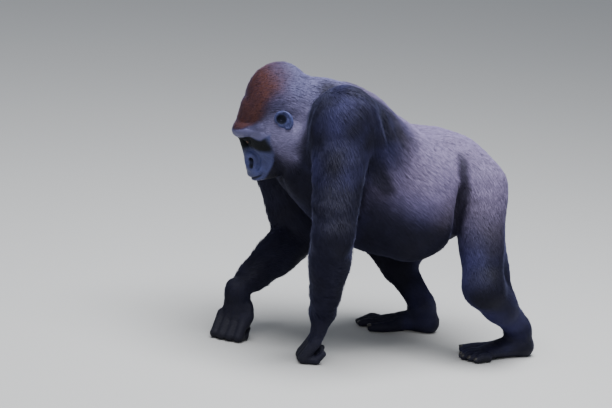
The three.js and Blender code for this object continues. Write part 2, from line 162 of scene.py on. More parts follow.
class Tube:
    """Stations (point, radius, width ratio) joined smoothly, wider along `side` by the ratio."""

    def __init__(self, stations, blend, side=(1, 0, 0)):
        steps = (len(stations) - 1) * 4
        places = curve_through([s[0] for s in stations], steps)
        sizes = np.array([[s[1], s[2] if len(s) > 2 else 1] for s in stations], float)
        self.rings = []
        for step, place in enumerate(places):
            u = step / 4
            k = min(int(u), len(stations) - 2)
            ease = smooth(0, 1, u - k)
            self.rings.append((place, *(sizes[k] + (sizes[k + 1] - sizes[k]) * ease)))
        self.side, self.blend = vec(side), blend
        reach = np.array([[r * max(1, wide)] * 3 for _, r, wide in self.rings])
        centres = np.array([ring[0] for ring in self.rings])
        self.low, self.high = (centres - reach).min(0), (centres + reach).max(0)

    def distance(self, x, y, z):
        best = None
        for (a, ra, wa), (b, rb, wb) in zip(self.rings, self.rings[1:]):
            ux, uy, uz = b - a
            px, py, pz = x - a[0], y - a[1], z - a[2]
            t = np.clip((px * ux + py * uy + pz * uz) / (ux * ux + uy * uy + uz * uz), 0, 1)
            px, py, pz = px - ux * t, py - uy * t, pz - uz * t
            square = px * px + py * py + pz * pz
            if wa != 1 or wb != 1:
                s = px * self.side[0] + py * self.side[1] + pz * self.side[2]
                square = square + s * s * (1 / (wa + (wb - wa) * t) ** 2 - 1)
            d = np.sqrt(np.maximum(square, 0)) - (ra + (rb - ra) * t)
            best = d if best is None else np.minimum(best, d)
        return best


class Ball:
    """A rounded mass with radii along a frame's three axes."""

    def __init__(self, middle, radii, blend, axes=WORLD):
        self.middle, self.radii, self.blend, self.axes = vec(middle), vec(radii), blend, axes.axes
        reach = np.sqrt(((self.axes * self.radii[:, None]) ** 2).sum(0))
        self.low, self.high = self.middle - reach, self.middle + reach

    def distance(self, x, y, z):
        x, y, z = x - self.middle[0], y - self.middle[1], z - self.middle[2]
        near = slope = 0
        for axis, radius in zip(self.axes, self.radii):
            q = (x * axis[0] + y * axis[1] + z * axis[2]) / radius
            near = near + q * q
            slope = slope + (q / radius) ** 2
        near = np.sqrt(near)
        return near * (near - 1) / np.sqrt(np.maximum(slope, 1e-12))


masses, hollows, lids, slits = [], [], [], []
LAYERS = [(masses, 1), (hollows, -1), (lids, 1), (slits, -1)]


def tube(stations, blend, side=(1, 0, 0), into=masses):
    into.append(Tube(stations, blend, side))


def ball(middle, radii, blend, axes=WORLD, into=masses):
    into.append(Ball(middle, radii, blend, axes))


def trunk_masses():
    tube([
        ((0, 188, 574), 94, 1.2), ((0, 135, 560), 144, 1.16), ((0, 60, 525), 192, 1.12),
        ((0, -40, 510), 214, 1.18), ((0, -130, 552), 222, 1.18), ((0, -210, 612), 212, 1.16),
        ((0, -262, 648), 176, 1.1), ((0, -302, 690), 126, 0.9),
    ], 40)
    tube([((0, -195, 724), 116, 1.25), ((0, -300, 766), 108, 1.02), ((4, -388, 780), 98, 0.86)], 40)
    for side in (LEFT, RIGHT):
        ball((side * 165, -20, 470), (118, 118, 150), 60)
        ball((side * 185, 42, 480), (72, 62, 118), 40)
        ball((side * 84, 192, 548), (90, 86, 104), 60)
        tube([
            ((side * 118, -215, 700), 120), ((side * 118, -110, 625), 128),
            ((side * 108, 20, 580), 120), ((side * 88, 120, 575), 112),
        ], 50)
    ball((222, 118, 470), (13, 44, 96), 22, into=hollows)


def arm_masses(side):
    shoulder, elbow, wrist = joints(ARM, side)
    chest = vec(side * 85, -318, 590)
    ball(shoulder + (side * 14, 4, -12), (92, 92, 108), 60)
    tube([(shoulder + (-side * 20, 10, 0), 84), ((side * 120, -200, 705), 112)], 60)
    tube([(chest, 100), (mix(chest, shoulder, 0.6), 82), (shoulder, 76)], 50)
    tube([
        (shoulder, 96), (mix(shoulder, elbow, 0.35), 88), (mix(shoulder, elbow, 0.7), 76), (elbow, 66),
    ], 40)
    tube([(elbow, 64), (mix(elbow, wrist, 0.28), 70), (mix(elbow, wrist, 0.7), 54), (wrist, 40)], 22)


FINGER = {"across": 27, "radius": 16, "knuckle": 76, "reach": 44, "back": 40}


def hand_masses(side):
    wrist = vec(ARM[side]["wrist"])
    ground = Axes((wrist[0], wrist[1], 0), heading(HAND_TURN[side]), (0, 0, 1))
    knuckle, reach, back = FINGER["knuckle"], FINGER["reach"], FINGER["back"]
    palm = [(wrist, 38), (ground.at(6, 0, 112), 27, 1.6), (ground.at(14, 0, knuckle), 22, 2.1)]
    tube(palm, 16, ground.axes[1])
    for finger in range(4):
        across = (finger - 1.5) * FINGER["across"]
        shorter = abs(finger - 1.3) * 4
        first = ground.at(14, across, knuckle)
        second = ground.at(14 + reach - shorter, across * 1.04, 19)
        third = ground.at(14 + reach - shorter - back, across * 1.04, 15)
        tube([(first, 19), (second, FINGER["radius"] + 1.5)], 7)
        tube([(second, FINGER["radius"]), (third, FINGER["radius"] - 1)], 5)
        tube([(third, FINGER["radius"] - 1), (ground.at(-4 - shorter, across, 38), 12)], 5)
    thumb = [(ground.at(-6, -side * 34, 118), 20), (ground.at(8, -side * 55, 84), 15)]
    tube([*thumb, (ground.at(14, -side * 52, 56), 11)], 10)


def leg_masses(side):
    hip, knee, ankle = joints(LEG, side)
    seat = vec(side * 103, 222, 490)
    calf = mix(knee, ankle, 0.45)
    tube([(hip, 96), (mix(hip, knee, 0.45), 78), (knee, 62)], 32)
    tube([(seat, 62), (mix(seat, calf, 0.6), 58), (calf, 46)], 40)
    tube([(knee, 64), (mix(knee, ankle, 0.35), 60), (mix(knee, ankle, 0.75), 46), (ankle, 40)], 30)


FOOT = {"heel_back": 52, "ball": 150, "tip": 208, "across": 24, "toe": 14}


def foot_axes(side):
    ankle = LEG[side]["ankle"]
    return Axes((ankle[0], ankle[1], 0), heading(FOOT_TURN[side]), (0, 0, 1))


def toe_reach(side, toe):
    """How far to the side and how far ahead a toe ends."""
    return side * ((toe - 1.2) * FOOT["across"] + 6), FOOT["tip"] - abs(toe - 1) * 9


def foot_masses(side):
    sole = foot_axes(side)
    tube([(sole.at(-18, 0, 36), 38), (sole.at(4, 0, LEG[side]["ankle"][2] - 20), 44)], 20)
    tube([
        (sole.at(34 - FOOT["heel_back"], 0, 32), 35, 1.0), (sole.at(50, 0, 34), 33, 1.15),
        (sole.at(100, 0, 26), 25, 1.6), (sole.at(FOOT["ball"], side * 4, 18), 18, 2.4),
    ], 18, sole.axes[1])
    for toe in range(4):
        across, length = toe_reach(side, toe)
        tube([
            (sole.at(FOOT["ball"] - 6, across * 0.9, 17), 16),
            (sole.at((FOOT["ball"] + length) / 2, across, 20), FOOT["toe"] + 1),
            (sole.at(length, across, 12), FOOT["toe"] - 1),
        ], 6)
    tube([
        (sole.at(72, -side * 26, 24), 24), (sole.at(112, -side * 62, 20), 19),
        (sole.at(158, -side * 78, 16), 16),
    ], 12)


def head_ball(middle, radii, blend, into=masses):
    ball(HEAD.at(*middle), radii, blend, HEAD, into)


def head_tube(stations, blend, into=masses):
    tube([(HEAD.at(*place), *sizes) for place, *sizes in stations], blend, HEAD.axes[1], into)


def both_ways(stations):
    """Stations given from the middle outwards, mirrored to run from side to side."""
    mirrored = [((a, -l, u), *sizes) for (a, l, u), *sizes in reversed(stations[1:])]
    return mirrored + list(stations)


def head_masses():
    head_ball((0, 0, 38), (112, 90, 84), 40)
    head_ball((-26, 0, 88), (90, 50, 73), 50)
    head_ball((62, 0, 28), (74, 72, 46), 30)
    head_tube([((138, 0, 46), 19, 1.8), ((84, 0, 86), 20, 2.1)], 24)
    brow = [((149, 0, 35), 21), ((145, 30, 37), 22), ((124, 62, 30), 19), ((84, 80, 14), 16)]
    head_tube(both_ways(brow), 20)
    head_ball((82, 0, -30), (84, 70, 74), 30)
    head_tube([((142, 0, 12), 17), ((156, 0, -20), 19), ((162, 0, -44), 22)], 16)
    head_ball((146, 0, -88), (58, 54, 40), 26)
    head_ball((138, 0, -114), (66, 54, 36), 24)
    for side in (LEFT, RIGHT):
        head_ball((156, side * 22, -50), (24, 19, 20), 10)
        head_ball((88, side * 60, -20), (34, 22, 22), 24)
        head_ball((88, side * 58, -50), (40, 25, 40), 26)
        head_ball((42, side * 64, -52), (64, 44, 76), 36)
        head_tube([((20, side * 66, -92), 42), ((120, side * 34, -118), 34)], 34)
    tube([(HEAD.at(30, 0, -60), 62), ((0, -310, 630), 88, 1.2)], 30)
    for side in (LEFT, RIGHT):
        nostril(side)
        eye_socket(side)


def on_side(side, path):
    """The path with its second coordinate taken out to one side."""
    return [((a, side * l, u), *sizes) for (a, l, u), *sizes in path]


OPENING = [((160, 27, -58), 7), ((172, 38, -68), 8.5), ((181, 44, -76), 7)]


def nostril(side):
    """A padded ring around the opening, a groove behind it and a second fold behind that."""
    outer = [
        (140, 38, -34), (130, 47, -48), (128, 52, -64), (138, 54, -84), (158, 50, -98), (176, 42, -106),
    ]
    head_tube(on_side(side, [(p, 7) for p in outer]), 10)
    ring = [
        (164, 26, -40), (155, 37, -50), (153, 41, -65), (161, 43, -79), (174, 39, -87),
        (187, 30, -85), (188, 22, -69), (178, 20, -50), (164, 26, -40),
    ]
    head_tube(on_side(side, [(p, 7.5) for p in ring]), 7)
    groove = [(152, 38, -34), (143, 47, -48), (141, 53, -64), (149, 56, -82), (166, 53, -95)]
    head_tube(on_side(side, [(p, 4.5) for p in groove]), 8, hollows)
    head_tube(on_side(side, OPENING), 6, hollows)


def eye_socket(side):
    """A hollow under the brow with the lids around the eyeball, open in a narrow slit."""
    ahead, apart, up, size = (EYE[k] for k in ("ahead", "apart", "up", "radius"))
    head_ball((ahead + 8, side * apart, up - 2), (23, 21, 15), 12, hollows)
    head_ball((ahead, side * apart, up), [size + 3.2] * 3, 6, lids)
    fold = [
        (ahead + 4, apart - 17, up + 4), (ahead + 14, apart - 6, up + 12),
        (ahead + 11, apart + 8, up + 13), (ahead - 2, apart + 18, up + 6),
    ]
    head_tube(on_side(side, [(p, 4) for p in fold]), 5, lids)
    bag = [
        (ahead + 6, apart - 14, up - 12), (ahead + 8, apart + 2, up - 17), (ahead - 2, apart + 16, up - 14),
    ]
    head_tube(on_side(side, [(p, 4.5) for p in bag]), 7, lids)
    head_ball((ahead + 12, side * (apart + 2), up - 1.5), (10, 14, 5.2), 2, slits)


MOUTH = [
    (209, 0, -111), (203, 20, -114), (190, 35, -117), (170, 47, -118), (151, 54, -116), (139, 58, -110),
]


def lip_line(rise):
    """The line where the lips meet, lifted by `rise`, from one corner to the other."""
    return [HEAD.at(*place) for place, in both_ways([((a, l, u + rise),) for a, l, u in MOUTH])]


trunk_masses()
for _side in (LEFT, RIGHT):
    arm_masses(_side)
hand_masses(LEFT)
hand_masses(RIGHT)
for _side in (LEFT, RIGHT):
    leg_masses(_side)
for _side in (LEFT, RIGHT):
    foot_masses(_side)
head_masses()

MARGIN = 26
EMPTY = 90.0

# Soft folds of loose skin: sides, points near the surface, radius, how far it stands out, blend
BOTH, NEAR = (LEFT, RIGHT), (LEFT,)
MIDDLE = (LEFT,)
PLEATS = [
    (MIDDLE, lip_line(10), 9, 3.5, 9),
    (MIDDLE, lip_line(-10), 9, 3.5, 9),
    (NEAR, [(250, -256, 864), (258, -215, 819), (248, -195, 765), (239, -172, 701), (236, -156, 650)],
     20, 7, 16),
    (BOTH, [(168, -190, 826), (203, -161, 783), (217, -139, 733), (227, -113, 687), (237, -93, 652)],
     20, 6, 16),
    (BOTH, [(123, -129, 799), (184, -108, 748), (204, -80, 704), (225, -52, 660)], 18, 4, 16),
    (NEAR, [(216, -324, 870), (241, -293, 870), (271, -261, 843), (280, -231, 801), (257, -202, 741)],
     16, 4, 14),
    (NEAR, [(300, -384, 560), (350, -380, 540), (390, -345, 530), (404, -310, 540)], 18, 6, 16),
]
FURROWS = [
    (MIDDLE, lip_line(0), 4.2, 1.2, 4),
    (NEAR, [(71, -317, 860), (150, -350, 850), (192, -370, 827), (180, -382, 781), (160, -385, 737),
            (154, -385, 680)], 15, 2, 14),
    (NEAR, [(150, 112, 655), (192, 118, 625), (202, 122, 586), (186, 130, 524), (170, 134, 450)], 10, 3, 6),
    (NEAR, [(273, -366, 732), (285, -369, 705), (288, -377, 676)], 9, 1, 10),
    (BOTH, [(250, -215, 690), (246, -190, 640), (250, -156, 590)], 16, 1, 16),
    (NEAR, [(357, -295, 640), (366, -286, 578), (385, -299, 531)], 12, 1, 12),
]


def field(points):
    """Distance-like value at each point: below zero is inside the coat's outer surface."""
    d = np.full(len(points), EMPTY)
    for solid, sign in LAYERS:
        for mass in solid:
            reach = mass.blend + MARGIN
            near = ((points > mass.low - reach) & (points < mass.high + reach)).all(1).nonzero()[0]
            if len(near):
                part = mass.distance(*points[near].T)
                d[near] = sign * blend_down(sign * d[near], part, mass.blend)
    return np.maximum(d, PRESSED - points[:, 2])


def on_surface(point, inward):
    """The point moved onto the body's surface and then inward along the slope."""
    point = vec(point)
    for _ in range(4):
        spots = np.vstack([point, point + np.eye(3)])
        values = field(spots)
        slope = values[1:] - values[0]
        point = point - slope * values[0] / max(slope @ slope, 0.05)
    return point - slope * inward / max(np.linalg.norm(slope), 0.2)


def add_folds():
    made = []
    for folds, into, way in ((PLEATS, masses, 1), (FURROWS, hollows, -1)):
        for sides, path, radius, out, blend in folds:
            for side in sides:
                spots = [on_surface((side * x, y, z), way * (radius - out)) for x, y, z in path]
                sizes = radius * np.interp(np.linspace(0, 1, len(path)), (0, 0.3, 0.7, 1), (0.5, 1, 1, 0.5))
                made.append((list(zip(spots, sizes)), blend, into))
    for stations, blend, into in made:
        tube(stations, blend, into=into)


def field_on_grid(low, counts, step, layers=LAYERS):
    axes = [low[i] + step * np.arange(counts[i]) for i in range(3)]
    d = np.full(counts, EMPTY, dtype=np.float32)
    for solid, sign in layers:
        for mass in solid:
            reach = mass.blend + MARGIN
            spans = [
                slice(max(0, int((mass.low[i] - reach - low[i]) / step)),
                      min(counts[i], int((mass.high[i] + reach - low[i]) / step) + 2)) for i in range(3)
            ]
            x, y, z = (axes[i][spans[i]].astype(np.float32) for i in range(3))
            part = mass.distance(x[:, None, None], y[None, :, None], z[None, None, :])
            d[tuple(spans)] = sign * blend_down(sign * d[tuple(spans)], part, mass.blend)
    return np.maximum(d, PRESSED - axes[2])


# ---------------------------------------------------------------- zones of the coat

NAPE = [(0, -375, 800), (0, -270, 790), (0, -190, 740)]
FACE_EDGE = [
    (-150, 190), (-135, 165), (-117, 131), (-102, 104), (-74, 84), (-41, 73),
    (-19, 57), (6, 80), (33, 110), (47, 149), (60, 175),
]


def bare_face(points):
    """1 on the bare face, 0 behind its edge of hair."""
    ahead, left, up = HEAD.local(points).T
    edge = np.interp(up, *np.array(FACE_EDGE, float).T)
    in_front = smooth(-12, 10, ahead - edge) * smooth(260, 230, ahead)
    return in_front * smooth(-170, -150, up) * (np.abs(left) < 120)


def distance_to(path, points):
    """Distance from each point to a line of straight runs."""
    best = np.full(len(points), np.inf)
    for a, b in zip(path, path[1:]):
        a, b = vec(a), vec(b)
        t = np.clip((points - a) @ (b - a) / ((b - a) @ (b - a)), 0, 1)
        best = np.minimum(best, np.linalg.norm(points - a - t[:, None] * (b - a), axis=1))
    return best


class Zone:
    """A part of the coat around a bone: how deep, long, wide and lifted its hair is, and its lie."""

    def __init__(self, path, radius, depth, length, width, lift, dense, lie):
        self.path, self.radius = [vec(p) for p in path], radius
        self.sizes = (depth, length, width, lift, dense)
        self.lie = lie

    def ratio(self, points):
        return distance_to(self.path, points) / self.radius


def towards(*direction):
    direction = unit(vec(direction))
    return lambda points: np.broadcast_to(direction, points.shape)


def spreading(direction, sideways, middle=0):
    """A lie that runs along `direction` and off to each side of the back's middle line."""
    def lie(points):
        off = np.clip((points[:, :1] - middle) / 120, -1, 1)
        return vec(direction) + off * vec(sideways, 0, 0) + np.abs(off) * vec(0, 0, -abs(sideways))
    return lie


def head_way(a, l, u):
    return lambda points: vec(a, 0, u) @ HEAD.axes + np.sign(HEAD.local(points)[:, 1:2]) * l * HEAD.axes[1]


ZONES = {
    # name: path, radius, depth, length, width, lift, tufts per square centimetre, lie
    "crown": Zone([HEAD.at(-50, 0, 110), HEAD.at(30, 0, 70), HEAD.at(90, 0, 50)], 74, 6, 20, 1.9, 14, 24,
                  head_way(-1, 0.25, -0.2)),
    "face": Zone([HEAD.at(110, 0, 10), HEAD.at(150, 0, -90)], 62, 0.5, 7, 1.4, 12, 0, head_way(-1, 0, -0.3)),
    "throat": Zone([HEAD.at(40, 0, -90), (0, -330, 600)], 84, 7, 28, 2.4, 14, 10, towards(0, 0.4, -1)),
    "nape": Zone(NAPE, 104, 8, 30, 2.1, 17, 17, spreading((0, 1, -0.15), 0.5)),
    "back": Zone([(0, -150, 680), (0, 0, 640), (0, 120, 620)], 130, 5, 26, 2.0, 11, 16,
                 spreading((0, 1, -0.1), 0.6)),
    "belly": Zone([(0, -160, 480), (0, 70, 440)], 190, 6, 30, 2.2, 11, 11, towards(0, 0.8, -0.6)),
    "rump": Zone([(0, 150, 600), (0, 210, 560)], 130, 5, 24, 2.0, 11, 17, spreading((0, 0.6, -0.8), 0.4)),
}
for _side in (LEFT, RIGHT):
    _name = NAMES[_side]
    _shoulder, _elbow, _wrist = joints(ARM, _side)
    _hip, _knee, _ankle = joints(LEG, _side)
    _palm = vec(_wrist[0], _wrist[1], 40)
    _sole = foot_axes(_side)
    _trail = vec(0, 0.35, 0)
    limbs = {
        "cheek": Zone([HEAD.at(60, _side * 62, -20), HEAD.at(20, _side * 66, -90)], 52, 4, 15, 1.8, 15, 24,
                      head_way(-1, 0.1, -0.5)),
        "shoulder": Zone([_shoulder, (_side * 130, -190, 690)], 104, 8, 38, 2.3, 12, 16,
                         towards(_side * 0.15, 0.6, -0.9)),
        "upper_arm": Zone([mix(_shoulder, _elbow, 0.3), _elbow], 76, 9, 44, 2.5, 13, 15,
                          towards(*(unit(_elbow - _shoulder) + _trail))),
        "forearm": Zone([mix(_elbow, _wrist, 0.15), mix(_elbow, _wrist, 0.85)], 60, 9, 44, 2.5, 14, 15,
                        towards(*(unit(_elbow - _wrist) * 0.35 + _trail * 2.4 + vec(0, 0, -0.5)))),
        "hand": Zone([mix(_elbow, _wrist, 0.97), _palm], 44, 1.5, 11, 1.5, 10, 9,
                     towards(*(heading(HAND_TURN[_side]) * 0.2 + vec(0, 0, -1)))),
        "thigh": Zone([_hip, mix(_hip, _knee, 0.9)], 84, 5, 27, 2.1, 11, 15,
                      towards(*(unit(_knee - _hip) + _trail))),
        "shank": Zone([_knee, mix(_knee, _ankle, 0.8)], 58, 6, 28, 2.2, 12, 15,
                      towards(*(unit(_ankle - _knee) + _trail))),
        "foot": Zone([_ankle, _sole.at(60, 0, 25), _sole.at(FOOT["tip"], 0, 10)], 42, 1.5, 10, 1.5, 9, 6,
                     towards(*heading(FOOT_TURN[_side]))),
    }
    ZONES |= {f"{part}_{_name}": zone for part, zone in limbs.items()}

ZONE_NAMES = list(ZONES)
ZONE_SIZES = np.array([z.sizes for z in ZONES.values()])
NEARNESS = 7.0


def zone_weights(points):
    ratios = np.stack([z.ratio(points) for z in ZONES.values()], axis=1)
    weights = np.exp(-NEARNESS * (ratios - ratios.min(1, keepdims=True)))
    return weights / weights.sum(1, keepdims=True)


def coat_sizes(points, weights):
    """Depth, length, width, lift and density of the coat at each point."""
    sizes = weights @ ZONE_SIZES
    bare = bare_face(points)[:, None]
    sizes[:, :2] = sizes[:, :2] * (1 - bare) + vec(0.5, 6) * bare
    return sizes


def coat_depth(points):
    return coat_sizes(points, zone_weights(points))[:, 0]


# ---------------------------------------------------------------- the skin's surface

def surface_net(values, low, step):
    """Quads around every grid edge that the surface crosses, one vertex to a cell."""
    shape = np.array(values.shape) - 1
    ids, places, quads = [], [], []
    for axis in range(3):
        across, beside = (axis + 1) % 3, (axis + 2) % 3
        near = np.take(values, range(0, shape[axis]), axis)
        far = np.take(values, range(1, shape[axis] + 1), axis)
        edge = np.argwhere((near < 0) != (far < 0))
        a, b = near[tuple(edge.T)], far[tuple(edge.T)]
        place = edge.astype(float)
        place[:, axis] += a / (a - b)
        ring = []
        for back, down in ((0, 0), (1, 0), (1, 1), (0, 1)):
            cell = edge.copy()
            cell[:, across] -= back
            cell[:, beside] -= down
            ring.append(np.ravel_multi_index(cell.T, shape))
            ids.append(ring[-1])
            places.append(place)
        ring = np.stack(ring, axis=1)
        quads.append(np.where((a < 0)[:, None], ring, ring[:, ::-1]))
    used, where = np.unique(np.concatenate(ids), return_inverse=True)
    places = np.concatenate(places)
    count = np.bincount(where)
    points = np.stack([np.bincount(where, places[:, k]) / count for k in range(3)], axis=1)
    quads = np.searchsorted(used, np.concatenate(quads))
    return low + points * step, quads


def neighbours(faces_flat, loop_next, count):
    """Both ends of every edge, and how many neighbours each point has."""
    a = np.concatenate([faces_flat, loop_next])
    b = np.concatenate([loop_next, faces_flat])
    return a, b, np.maximum(np.bincount(a, minlength=count), 1)


def relaxed(points, ring, amount):
    a, b, count = ring
    mean = np.stack([np.bincount(a, points[b, k], len(points)) / count for k in range(3)], axis=1)
    return points + (mean - points) * amount


SLOPE_STEP = 0.6
SETTLING_ROUNDS = 2
LONGEST_MOVE = 4


def projected(points, depth):
    """Points moved onto the skin, and its normals there."""
    for _ in range(SETTLING_ROUNDS):
        here = field(points) + depth
        nudged = [field(points + nudge) + depth - here for nudge in SLOPE_STEP * np.eye(3)]
        slope = np.stack(nudged, axis=1)
        slope /= SLOPE_STEP
        size = np.maximum((slope ** 2).sum(1), 0.05)
        move = slope * (here / size)[:, None]
        length = np.linalg.norm(move, axis=1, keepdims=True)
        points = points - move * np.minimum(1, LONGEST_MOVE / np.maximum(length, 1e-9))
    return points, slope / np.sqrt(size)[:, None]


def in_scene(name, data):
    obj = bpy.data.objects.new(name, data)
    bpy.context.scene.collection.objects.link(obj)
    return obj


def mesh_object(name, points, faces, material):
    """A mesh from numpy arrays: points in millimetres, faces of equal length."""
    mesh = bpy.data.meshes.new(name)
    faces = np.asarray(faces, dtype=np.int32)
    mesh.vertices.add(len(points))
    mesh.vertices.foreach_set("co", placed(points).astype(np.float32).ravel())
    mesh.loops.add(faces.size)
    mesh.loops.foreach_set("vertex_index", faces.ravel())
    mesh.polygons.add(len(faces))
    mesh.polygons.foreach_set("loop_start", np.arange(len(faces), dtype=np.int32) * faces.shape[1])
    mesh.polygons.foreach_set("use_smooth", np.ones(len(faces), dtype=bool))
    mesh.update(calc_edges=True)
    mesh.materials.append(material)
    return in_scene(name, mesh)


def set_mask(mesh, name, values):
    mask = mesh.attributes.new(name, "FLOAT", "POINT")
    mask.data.foreach_set("value", np.asarray(values, dtype=np.float32))


GRID = 9
# The coat's depth matters only this near the surface, and is worked out for so many points at once.
SURFACE_BAND = 44
AT_ONCE = 60000
add_folds()


def build_skin():
    low = vec(-420, -640, -24)
    high = vec(500, 560, 980)
    counts = tuple(int(n) for n in np.ceil((high - low) / GRID) + 1)
    values = field_on_grid(low, counts, GRID)
    close = np.argwhere(np.abs(values) < SURFACE_BAND)
    spots = low + close * GRID
    for part in np.array_split(np.arange(len(close)), max(1, len(close) // AT_ONCE)):
        values[tuple(close[part].T)] += coat_depth(spots[part])
    points, quads = surface_net(values, low, GRID)
    grid = Grid(values, low, GRID)

    # Finer faces where the shape is finer: the bare face, the hands and the feet.
    mesh = bpy.data.meshes.new("net")
    mesh.from_pydata(points.tolist(), [], quads.tolist())
    net = bmesh.new()
    net.from_mesh(mesh)
    bpy.data.meshes.remove(mesh)
    for chosen in finer_rounds():
        middles = np.array([face.calc_center_median() for face in net.faces])
        picked = chosen(middles)
        net.faces.ensure_lookup_table()
        edges = dict.fromkeys(edge for i in np.flatnonzero(picked) for edge in net.faces[i].edges)
        bmesh.ops.subdivide_edges(net, edges=list(edges), cuts=1, use_grid_fill=True)
    bmesh.ops.triangulate(net, faces=net.faces[:])
    points = np.array([v.co for v in net.verts])
    faces = np.array([[v.index for v in face.verts] for face in net.faces])
    net.free()

    ring = neighbours(faces.ravel(), np.roll(faces, -1, axis=1).ravel(), len(points))
    points = relaxed(points, ring, 0.5)
    depth = coat_depth(points)
    points, _ = projected(points, depth)
    points = relaxed(points, ring, 0.35)
    points, normals = projected(points, depth)
    return points, faces, normals, grid


def finer_rounds():
    """Tests for the faces to divide, one round after another."""
    def limbs(points):
        return points[:, 2] < 120

    def face_near(reach):
        return lambda points: (
            (np.linalg.norm((HEAD.local(points) - vec(145, 0, -45)) * vec(1, 1, 0.8), axis=1) < reach)
            & (HEAD.local(points)[:, 0] > 60)
        )

    return [lambda points: limbs(points) | face_near(125)(points), face_near(105), face_near(64)]


# ---------------------------------------------------------------- shader maths

class Wire:
    """A socket's value in a shader, with arithmetic."""

    def __init__(self, paint, socket):
        self.paint, self.socket = paint, socket

    def maths(self, operation, *values):
        return self.paint.add("Math", {"operation": operation}, dict(enumerate(values)))

    def __add__(self, other):
        return self.maths("ADD", self, other)

    def __sub__(self, other):
        return self.maths("SUBTRACT", self, other)

    def __rsub__(self, other):
        return self.maths("SUBTRACT", other, self)

    def __mul__(self, other):
        return self.maths("MULTIPLY", self, other)

    __radd__, __rmul__ = __add__, __mul__

    def clamped(self):
        wire = self * 1
        wire.socket.node.use_clamp = True
        return wire


class Paint:
    """A material's node tree under construction."""

    def __init__(self, name):
        self.material = bpy.data.materials.new(name)
        self.material.use_nodes = True
        self.tree = self.material.node_tree
        self.tree.nodes.clear()

    def add(self, kind, settings=None, inputs=None, output=0):
        node = self.tree.nodes.new("ShaderNode" + kind)
        for key, value in (settings or {}).items():
            setattr(node, key, value)
        for key, value in (inputs or {}).items():
            if isinstance(value, Wire):
                self.tree.links.new(value.socket, node.inputs[key])
            else:
                node.inputs[key].default_value = value
        return Wire(self, node.outputs[output])

    def mask(self, name):
        return self.add("Attribute", {"attribute_name": name}, output="Fac")

    def noise(self, scale, detail=3, stretch=(1, 1, 1)):
        place = self.add("TexCoord", output="Object")
        spread = self.add("Mapping", None, {"Vector": place, "Scale": stretch})
        return self.add("TexNoise", None, {"Vector": spread, "Scale": scale, "Detail": detail})

    def ramp(self, wire, low, high, start=0.0, end=1.0):
        return self.add("MapRange", {"interpolation_type": "SMOOTHSTEP"}, {
            "Value": wire, "From Min": low, "From Max": high, "To Min": start, "To Max": end,
        })

    def blend(self, factor, first, second, how="MIX"):
        colours = {6: first, 7: second}
        colours = {k: v if isinstance(v, Wire) else (*v, 1) for k, v in colours.items()}
        return self.add("Mix", {"data_type": "RGBA", "blend_type": how}, {0: factor, **colours}, output=2)

    def bump(self, height, distance, strength=1.0, under=None):
        inputs = {"Height": height, "Distance": distance, "Strength": strength}
        return self.add("Bump", None, inputs | ({"Normal": under} if under else {}))

    def surface(self, **inputs):
        named = {key.replace("_", " "): value for key, value in inputs.items()}
        shader = self.add("BsdfPrincipled", None, named)
        self.tree.links.new(shader.socket, self.tree.nodes.new("ShaderNodeOutputMaterial").inputs["Surface"])
        return self.material


# ---------------------------------------------------------------- markings and painted shade, shared by skin and coat

# The blue in these colours is a painted reflection of the blue sky on the black hair and skin.
BLACK = (0.009, 0.009, 0.019)
BLUE_SHEEN_BLACK = (0.030, 0.030, 0.092)
GREY = (0.195, 0.160, 0.275)
GREY_BROWN = (0.092, 0.077, 0.120)
BROWN = (0.100, 0.040, 0.034)
CROWN_TOP = (0.080, 0.054, 0.095)
LAVENDER = (0.112, 0.108, 0.215)
CHEEK = (0.185, 0.168, 0.300)
FACE = (0.034, 0.040, 0.112)
# Painted shade under the brow, around the eyes, in the nostrils and between the lips.
SOCKET_SHADE = (0.003, 0.004, 0.006)
BROW = (0.095, 0.090, 0.180)

MARKS_AND_SHADES = (
    "crown", "crown_top", "grizzle", "cheek", "saddle", "leg", "shade_under", "bare", "brow", "socket",
)
CREASES = [(FURROWS[1], 64), (FURROWS[2], 34), (FURROWS[4], 42)]


# The lower edge of the brow ridge: (how far out to the side, how high).
BROW_EDGE = [(0, 22), (30, 20), (62, 12), (80, -4), (95, -20)]


def shade_in_openings(points):
    """Painted shade: 1 inside the nostrils and in the line between the lips."""
    local = HEAD.local(points)
    local[:, 1] = np.abs(local[:, 1])
    hole = distance_to([place for place, _ in OPENING], local)
    return np.maximum(smooth(12, 7, hole), 0.8 * smooth(7, 2.5, distance_to(MOUTH, local)))


def near_crease(points):
    """1 in the shaded creases on either side of the body."""
    shaded = [
        smooth(reach, 0.3 * reach, distance_to(path, points * vec(side, 1, 1)))
        for (sides, path, *_), reach in CREASES for side in sides
    ]
    return np.max(shaded, axis=0)


